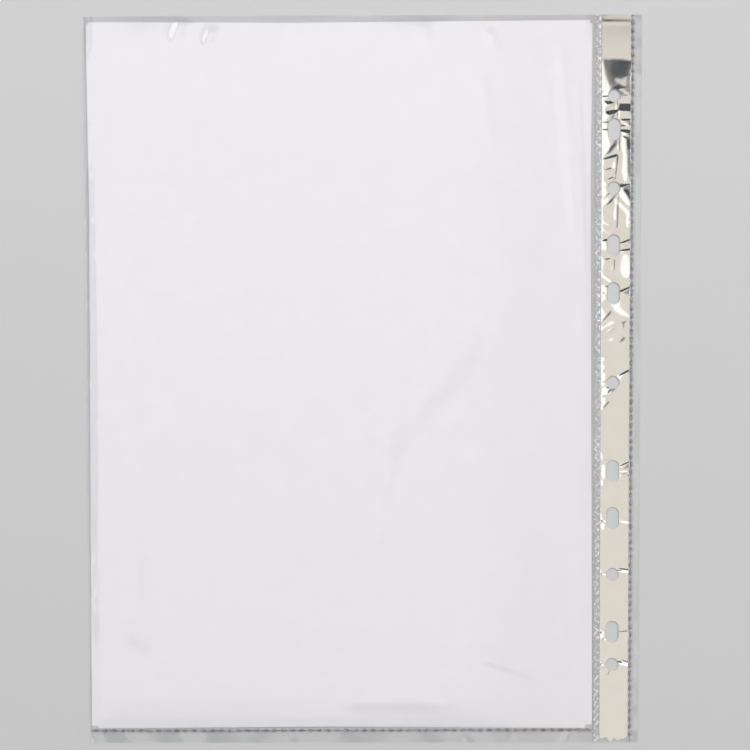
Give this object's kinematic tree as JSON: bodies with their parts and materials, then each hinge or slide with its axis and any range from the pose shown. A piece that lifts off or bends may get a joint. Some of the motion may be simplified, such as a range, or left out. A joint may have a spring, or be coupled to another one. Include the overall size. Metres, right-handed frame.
{
  "type": "sheet protector",
  "caption": "Clear film pocket for A4 paper, open at the top, with a welded and punched reinforced binding margin for ring binders, holding loose white sheets.",
  "frame": {"origin": "middle of the outline, on the face that lies down", "axes": "+X across the page towards the binding margin, +Y up the page to the mouth of the pocket, +Z towards the reader"},
  "size_m": [0.233, 0.3068, 0.0005],
  "materials": {
    "clear_film": "clear smooth polypropylene film, slightly wavy",
    "film_weld": "melted and knurled clear film",
    "binding_strip": "metallised silver plastic tape, creased",
    "paper": "plain uncoated white office paper"
  },
  "bodies": {
    "binding": {"margin_back_film": "clear_film", "binding_strip": "binding_strip", "margin_front_film": "clear_film", "outer_weld": "film_weld"},
    "pocket": {"pocket_back_film": "clear_film", "pocket_front_film": "clear_film", "folded_edge": "clear_film", "inner_weld": "film_weld", "bottom_weld": "film_weld", "crease_film": "clear_film"},
    "front_paper": {"front_sheet": "paper"},
    "back_paper": {"back_sheet": "paper"}
  },
  "joints": [
    {"name": "pocket_turn", "type": "hinge", "parent": "binding", "child": "pocket", "pos_m": [0.09968, 0, 0.00048], "axis": [0, 1, 0], "range_deg": [0, 175], "deforming": ["crease_film"]},
    {"name": "front_sheet_slide", "type": "slide", "parent": "pocket", "child": "front_paper", "axis": [0, 1, 0], "range_m": [0, 0.305]},
    {"name": "back_sheet_slide", "type": "slide", "parent": "pocket", "child": "back_paper", "axis": [0, 1, 0], "range_m": [0, 0.305]}
  ]
}
